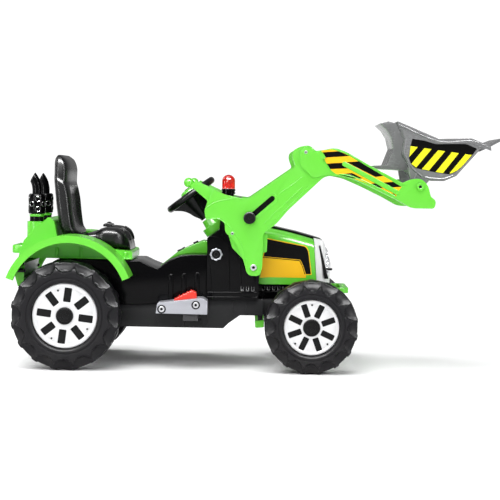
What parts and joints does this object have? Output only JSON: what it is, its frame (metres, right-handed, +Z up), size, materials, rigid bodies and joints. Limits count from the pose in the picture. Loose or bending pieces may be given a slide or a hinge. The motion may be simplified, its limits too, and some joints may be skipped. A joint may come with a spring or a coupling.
{
  "type": "ride-on toy front loader",
  "caption": "Child's battery ride-on tractor with a lifting front loader, tipping bucket, steered front wheels, moulded seat and rear fenders.",
  "frame": {"origin": "centre of the footprint on the ground", "axes": "+X the driving direction, +Z up, -Y the driver's right-hand side"},
  "size_m": [1.398, 0.57, 0.708],
  "materials": {
    "hull_grey": "satin grained moulding",
    "gloss_black": "high gloss",
    "lime_green": "semi-gloss lime",
    "white_plastic": "semi-gloss white",
    "lamp_silver": "metallised lamp",
    "seat_black": "soft gloss, moulded grain",
    "control_black": "satin",
    "tyre_plastic": "blow-moulded tyre, satin",
    "step_silver": "metallic silver",
    "beacon_red": "clear red lens",
    "pedal_red": "semi-gloss red",
    "steel": "zinc-plated",
    "bucket_grey": "satin metallic grey",
    "case_black": "matt case"
  },
  "bodies": {
    "chassis": {"hull": "hull_grey", "deck": "gloss_black", "tower": "gloss_black", "hood": "lime_green", "grille_surround": "white_plastic", "headlamp_right": "lamp_silver", "headlamp_left": "lamp_silver", "bumper": "lime_green", "rear_body": "lime_green", "rear_handle": "lime_green", "seat_back": "seat_black", "seat_base": "seat_black", "stack_pipe_right": "gloss_black", "stack_pipe_left": "gloss_black", "stack_shield_right": "gloss_black", "stack_shield_left": "gloss_black", "console": "lime_green", "column_cover": "lime_green", "beacon_base": "gloss_black", "beacon_dome": "beacon_red", "side_knob_right": "step_silver", "side_knob_left": "step_silver", "step_plate_right": "step_silver", "step_plate_left": "step_silver", "battery": "case_black", "gearbox_right": "case_black", "gearbox_left": "case_black", "rear_axle": "steel", "front_axle": "steel", "boom_shaft": "steel"},
    "steering": {"steering_wheel": "control_black", "wheel_pad": "lime_green", "steering_shaft": "steel"},
    "rocker": {"rocker_switch": "control_black"},
    "button": {"start_button": "control_black"},
    "pedal": {"pedal": "pedal_red"},
    "tie_rod": {"tie_rod": "steel"},
    "boom": {"boom_arm_right": "lime_green", "boom_arm_left": "lime_green", "elbow_cap_right": "lime_green", "elbow_cap_left": "lime_green", "cross_tube": "lime_green", "bucket_pin": "steel"},
    "bucket": {"bucket": "bucket_grey"},
    "knuckle_right": {"knuckle_right": "steel"},
    "slider_right": {"slider_right": "control_black"},
    "wheel_front_right": {"tyre_front_right": "tyre_plastic", "wheel_disc_front_right": "white_plastic", "hub_cap_front_right": "control_black"},
    "wheel_rear_right": {"tyre_rear_right": "tyre_plastic", "wheel_disc_rear_right": "white_plastic", "hub_cap_rear_right": "control_black"},
    "knuckle_left": {"knuckle_left": "steel"},
    "slider_left": {"slider_left": "control_black"},
    "wheel_front_left": {"tyre_front_left": "tyre_plastic", "wheel_disc_front_left": "white_plastic", "hub_cap_front_left": "control_black"},
    "wheel_rear_left": {"tyre_rear_left": "tyre_plastic", "wheel_disc_rear_left": "white_plastic", "hub_cap_rear_left": "control_black"}
  },
  "joints": [
    {"name": "rear_wheel_right", "type": "hinge", "parent": "chassis", "child": "wheel_rear_right", "pos_m": [-0.522, -0.223, 0.151], "axis": [0, 1, 0], "continuous": true},
    {"name": "rear_wheel_left", "type": "hinge", "parent": "chassis", "child": "wheel_rear_left", "pos_m": [-0.522, 0.223, 0.151], "axis": [0, 1, 0], "continuous": true},
    {"name": "steer_right", "type": "hinge", "parent": "chassis", "child": "knuckle_right", "pos_m": [0.159, -0.148, 0.13], "axis": [0, 0, 1], "range_deg": [-22, 22]},
    {"name": "steer_left", "type": "hinge", "parent": "chassis", "child": "knuckle_left", "pos_m": [0.159, 0.148, 0.13], "axis": [0, 0, 1], "range_deg": [-22, 22]},
    {"name": "front_wheel_right", "type": "hinge", "parent": "knuckle_right", "child": "wheel_front_right", "pos_m": [0.159, -0.22, 0.13], "axis": [0, 1, 0], "continuous": true},
    {"name": "front_wheel_left", "type": "hinge", "parent": "knuckle_left", "child": "wheel_front_left", "pos_m": [0.159, 0.22, 0.13], "axis": [0, 1, 0], "continuous": true},
    {"name": "steering_turn", "type": "hinge", "parent": "chassis", "child": "steering", "pos_m": [-0.19, 0, 0.488], "axis": [-0.6, 0, 0.8], "range_deg": [-45, 45]},
    {"name": "tie_rod_shift", "type": "slide", "parent": "chassis", "child": "tie_rod", "axis": [0, 1, 0], "range_m": [-0.0175, 0.0175]},
    {"name": "pedal_press", "type": "hinge", "parent": "chassis", "child": "pedal", "pos_m": [-0.221, -0.182, 0.19], "axis": [0, 1, 0], "range_deg": [0, 10], "stiffness_Nm_per_rad": 0.9, "springref_deg": -14.32},
    {"name": "rocker_tilt", "type": "hinge", "parent": "chassis", "child": "rocker", "pos_m": [-0.215, 0, 0.3268], "axis": [0, 1, 0], "range_deg": [-6, 6]},
    {"name": "button_press", "type": "slide", "parent": "chassis", "child": "button", "axis": [0.4042, 0, -0.9147], "range_m": [0, 0.0025], "stiffness_N_per_m": 150, "springref_m": -0.001},
    {"name": "boom_lift", "type": "hinge", "parent": "chassis", "child": "boom", "pos_m": [-0.0044, 0, 0.2914], "axis": [0, 1, 0], "range_deg": [0, 42]},
    {"name": "bucket_tilt", "type": "hinge", "parent": "boom", "child": "bucket", "pos_m": [0.4535, 0, 0.524], "axis": [0, 1, 0], "range_deg": [0, 65]},
    {"name": "slider_travel_right", "type": "slide", "parent": "boom", "child": "slider_right", "axis": [0.7481, 0, 0.6636], "range_m": [0, 0.0829]},
    {"name": "slider_travel_left", "type": "slide", "parent": "boom", "child": "slider_left", "axis": [0.7481, 0, 0.6636], "range_m": [0, 0.0829]}
  ],
  "couplings": [
    {"joint": "steer_left", "follows": "steer_right", "ratio": 1},
    {"joint": "steering_turn", "follows": "steer_right", "ratio": 2},
    {"joint": "tie_rod_shift", "follows": "steer_right", "m_per_rad": -0.0442},
    {"joint": "slider_travel_right", "follows": "bucket_tilt", "m_per_rad": 0.07272},
    {"joint": "slider_travel_left", "follows": "bucket_tilt", "m_per_rad": 0.07272}
  ]
}
